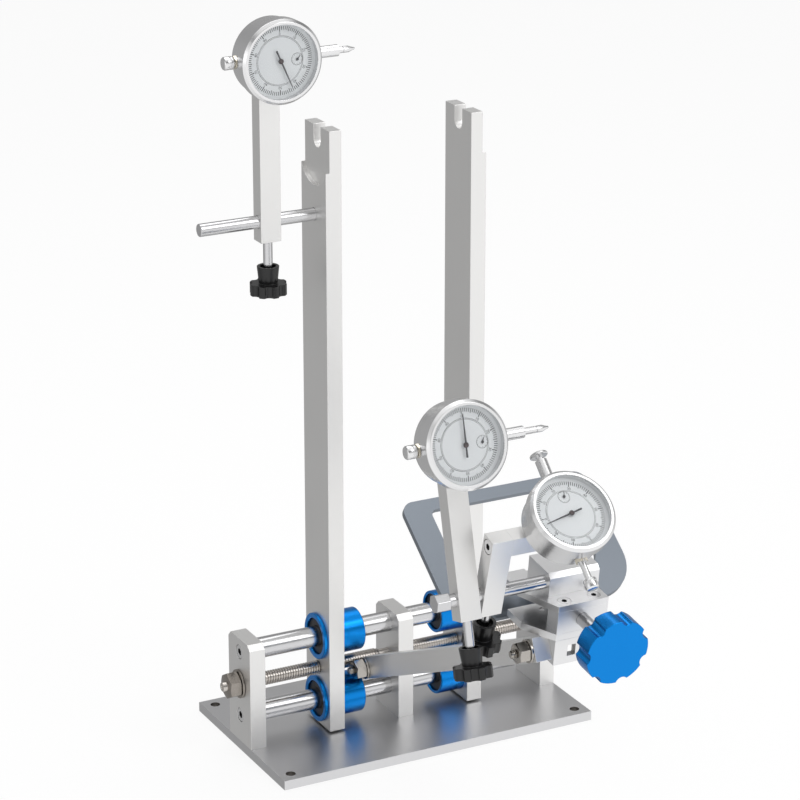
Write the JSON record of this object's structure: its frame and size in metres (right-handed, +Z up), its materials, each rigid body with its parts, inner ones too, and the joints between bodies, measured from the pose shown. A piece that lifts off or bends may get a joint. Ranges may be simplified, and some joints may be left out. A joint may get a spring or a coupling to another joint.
{
  "type": "bicycle wheel truing stand",
  "caption": "Bench stand with two screw-driven uprights that hold a wheel by its axle, and three dial gauges on swinging arms that show rotor, side and radial run-out.",
  "frame": {"origin": "centre of the underside of the base plate", "axes": "+X along the guide rods towards the end without the drive nut, +Y to the back, +Z up; the gauge carriage is at the front, at -Y"},
  "size_m": [0.272, 0.3847, 0.536],
  "materials": {
    "bare_aluminium": "bead blasted, clear anodised",
    "steel": "plain",
    "bright_steel": "polished",
    "blue_anodised": "glossy blue anodised",
    "black_plastic": "moulded, semi gloss",
    "grey_anodised": "satin grey anodised",
    "satin_chrome": "satin chrome",
    "dial_white": "printed white",
    "crystal": "clear",
    "pointer_black": "matt black"
  },
  "bodies": {
    "frame": {"base_plate": "bare_aluminium", "frame_screws": "steel", "left_block": "bare_aluminium", "middle_block": "bare_aluminium", "right_block": "bare_aluminium", "guide_rods": "bright_steel", "pivot_bolt": "steel"},
    "screw": {"lead_screw": "steel", "drive_nut": "steel"},
    "left_carrier": {"left_upright": "bare_aluminium", "left_housings": "blue_anodised", "left_bushings": "black_plastic", "rotor_shaft": "bright_steel"},
    "right_carrier": {"right_upright": "bare_aluminium", "right_housings": "blue_anodised", "right_bushings": "black_plastic"},
    "rotor_gauge": {"rotor_arm": "bare_aluminium", "rotor_dial_case": "satin_chrome"},
    "rotor_clamp": {"rotor_clamp_screw": "bright_steel", "rotor_clamp_knob": "black_plastic"},
    "swing": {"swing_arm": "bare_aluminium", "arm_end_bolt": "steel", "carriage_bracket": "bare_aluminium", "carriage_block": "bare_aluminium", "carriage_plates": "bare_aluminium", "carriage_screws": "bright_steel", "hoop_plate": "grey_anodised"},
    "adjuster": {"adjuster_screw": "bright_steel", "adjuster_knob": "blue_anodised"},
    "slider": {"slider_block": "bare_aluminium", "gauge_shaft": "bright_steel"},
    "slider_lock": {"slider_lock_knob": "black_plastic"},
    "lateral_gauge": {"lateral_arm": "bare_aluminium", "lateral_dial_case": "satin_chrome"},
    "lateral_clamp": {"lateral_clamp_screw": "bright_steel", "lateral_clamp_knob": "black_plastic"},
    "radial_support": {"radial_arm": "bare_aluminium"},
    "radial_clamp": {"radial_clamp_screw": "bright_steel", "radial_clamp_knob": "black_plastic"},
    "radial_gauge": {"radial_cross_bar": "bare_aluminium", "radial_joint_screw": "steel", "radial_dial_case": "satin_chrome"},
    "rotor_bezel": {"rotor_dial_bezel": "satin_chrome", "rotor_dial_face": "dial_white", "rotor_dial_crystal": "crystal"},
    "rotor_plunger": {"rotor_dial_plunger": "satin_chrome"},
    "rotor_pointer": {"rotor_dial_pointer": "pointer_black"},
    "rotor_counter": {"rotor_dial_counter": "pointer_black"},
    "lateral_bezel": {"lateral_dial_bezel": "satin_chrome", "lateral_dial_face": "dial_white", "lateral_dial_crystal": "crystal"},
    "lateral_plunger": {"lateral_dial_plunger": "satin_chrome"},
    "lateral_pointer": {"lateral_dial_pointer": "pointer_black"},
    "lateral_counter": {"lateral_dial_counter": "pointer_black"},
    "radial_bezel": {"radial_dial_bezel": "satin_chrome", "radial_dial_face": "dial_white", "radial_dial_crystal": "crystal"},
    "radial_plunger": {"radial_dial_plunger": "satin_chrome"},
    "radial_pointer": {"radial_dial_pointer": "pointer_black"},
    "radial_counter": {"radial_dial_counter": "pointer_black"}
  },
  "joints": [
    {"name": "left_upright_slide", "type": "slide", "parent": "frame", "child": "left_carrier", "axis": [1, 0, 0], "range_m": [-0.045, 0.005]},
    {"name": "right_upright_slide", "type": "slide", "parent": "frame", "child": "right_carrier", "axis": [1, 0, 0], "range_m": [-0.0051, 0.0451]},
    {"name": "lead_screw_turn", "type": "hinge", "parent": "frame", "child": "screw", "pos_m": [0, 0, 0.052], "axis": [1, 0, 0], "range_deg": [-8110, 910]},
    {"name": "rotor_arm_swing", "type": "hinge", "parent": "left_carrier", "child": "rotor_gauge", "pos_m": [-0.097, 0, 0.391], "axis": [1, 0, 0], "range_deg": [-45, 45]},
    {"name": "rotor_knob_turn", "type": "hinge", "parent": "rotor_gauge", "child": "rotor_clamp", "pos_m": [-0.097, 0, 0.351], "axis": [0, 0, 1], "range_deg": [-360, 0]},
    {"name": "swing_arm_pivot", "type": "hinge", "parent": "frame", "child": "swing", "pos_m": [0, -0.0135, 0.05], "axis": [1, 0, 0], "range_deg": [-15, 20]},
    {"name": "slider_feed", "type": "slide", "parent": "swing", "child": "slider", "axis": [0, 0.9903, 0.1392], "range_m": [-0.002, 0.004]},
    {"name": "adjuster_turn", "type": "hinge", "parent": "swing", "child": "adjuster", "pos_m": [0, -0.26403, 0.17961], "axis": [0, 0.9903, 0.1392], "range_deg": [-1160, 580]},
    {"name": "slider_lock_turn", "type": "hinge", "parent": "slider", "child": "slider_lock", "pos_m": [-0.013, -0.22788, 0.18823], "axis": [0, -0.1392, 0.9903], "range_deg": [-90, 0]},
    {"name": "lateral_arm_swing", "type": "hinge", "parent": "slider", "child": "lateral_gauge", "pos_m": [-0.077, -0.24658, 0.20277], "axis": [1, 0, 0], "range_deg": [-20, 2]},
    {"name": "lateral_knob_turn", "type": "hinge", "parent": "lateral_gauge", "child": "lateral_clamp", "pos_m": [-0.077, -0.24658, 0.20277], "axis": [0, 0.2419, 0.9703], "range_deg": [-360, 0]},
    {"name": "radial_arm_swing", "type": "hinge", "parent": "slider", "child": "radial_support", "pos_m": [-0.059, -0.24658, 0.20277], "axis": [1, 0, 0], "range_deg": [-2, 3]},
    {"name": "radial_knob_turn", "type": "hinge", "parent": "radial_support", "child": "radial_clamp", "pos_m": [-0.059, -0.24658, 0.20277], "axis": [0, -0.2588, 0.9659], "range_deg": [-360, 0]},
    {"name": "radial_dial_tilt", "type": "hinge", "parent": "radial_support", "child": "radial_gauge", "pos_m": [0, -0.25642, 0.23947], "axis": [1, 0, 0], "range_deg": [-15, 15]},
    {"name": "rotor_plunger_travel", "type": "slide", "parent": "rotor_gauge", "child": "rotor_plunger", "axis": [1, 0, 0], "range_m": [-0.009, 0], "stiffness_N_per_m": 60, "springref_m": 0.005},
    {"name": "rotor_bezel_turn", "type": "hinge", "parent": "rotor_gauge", "child": "rotor_bezel", "pos_m": [-0.097, -0.0137, 0.507], "axis": [0, -1, 0], "continuous": true},
    {"name": "rotor_pointer_turn", "type": "hinge", "parent": "rotor_gauge", "child": "rotor_pointer", "pos_m": [-0.097, -0.0137, 0.507], "axis": [0, -1, 0], "range_deg": [-3250, 10]},
    {"name": "rotor_counter_turn", "type": "hinge", "parent": "rotor_gauge", "child": "rotor_counter", "pos_m": [-0.0845, -0.0137, 0.507], "axis": [0, -1, 0], "range_deg": [-10, 335]},
    {"name": "lateral_plunger_travel", "type": "slide", "parent": "lateral_gauge", "child": "lateral_plunger", "axis": [1, 0, 0], "range_m": [-0.009, 0], "stiffness_N_per_m": 60, "springref_m": 0.005},
    {"name": "lateral_bezel_turn", "type": "hinge", "parent": "lateral_gauge", "child": "lateral_bezel", "pos_m": [-0.077, -0.23544, 0.30408], "axis": [0, -0.9703, 0.2419], "continuous": true},
    {"name": "lateral_pointer_turn", "type": "hinge", "parent": "lateral_gauge", "child": "lateral_pointer", "pos_m": [-0.077, -0.23544, 0.30408], "axis": [0, -0.9703, 0.2419], "range_deg": [-3250, 10]},
    {"name": "lateral_counter_turn", "type": "hinge", "parent": "lateral_gauge", "child": "lateral_counter", "pos_m": [-0.0645, -0.23544, 0.30408], "axis": [0, -0.9703, 0.2419], "range_deg": [-10, 335]},
    {"name": "radial_plunger_travel", "type": "slide", "parent": "radial_gauge", "child": "radial_plunger", "axis": [0, 0.7314, 0.682], "range_m": [-0.002, 0.008], "stiffness_N_per_m": 60, "springref_m": 0.0019},
    {"name": "radial_bezel_turn", "type": "hinge", "parent": "radial_gauge", "child": "radial_bezel", "pos_m": [-0.0165, -0.26808, 0.25198], "axis": [0, -0.682, 0.7314], "continuous": true},
    {"name": "radial_pointer_turn", "type": "hinge", "parent": "radial_gauge", "child": "radial_pointer", "pos_m": [-0.0165, -0.26808, 0.25198], "axis": [0, -0.682, 0.7314], "range_deg": [-730, 2890]},
    {"name": "radial_counter_turn", "type": "hinge", "parent": "radial_gauge", "child": "radial_counter", "pos_m": [-0.0165, -0.25894, 0.2605], "axis": [0, -0.682, 0.7314], "range_deg": [-298, 82]}
  ],
  "couplings": [
    {"joint": "right_upright_slide", "follows": "left_upright_slide", "ratio": -1},
    {"joint": "lead_screw_turn", "follows": "left_upright_slide", "rad_per_m": 3141.6},
    {"joint": "adjuster_turn", "follows": "slider_feed", "rad_per_m": -5026.5},
    {"joint": "rotor_pointer_turn", "follows": "rotor_plunger_travel", "rad_per_m": 6283.2},
    {"joint": "rotor_counter_turn", "follows": "rotor_plunger_travel", "rad_per_m": -628.32},
    {"joint": "lateral_pointer_turn", "follows": "lateral_plunger_travel", "rad_per_m": 6283.2},
    {"joint": "lateral_counter_turn", "follows": "lateral_plunger_travel", "rad_per_m": -628.32},
    {"joint": "radial_pointer_turn", "follows": "radial_plunger_travel", "rad_per_m": 6283.2},
    {"joint": "radial_counter_turn", "follows": "radial_plunger_travel", "rad_per_m": -628.32}
  ]
}
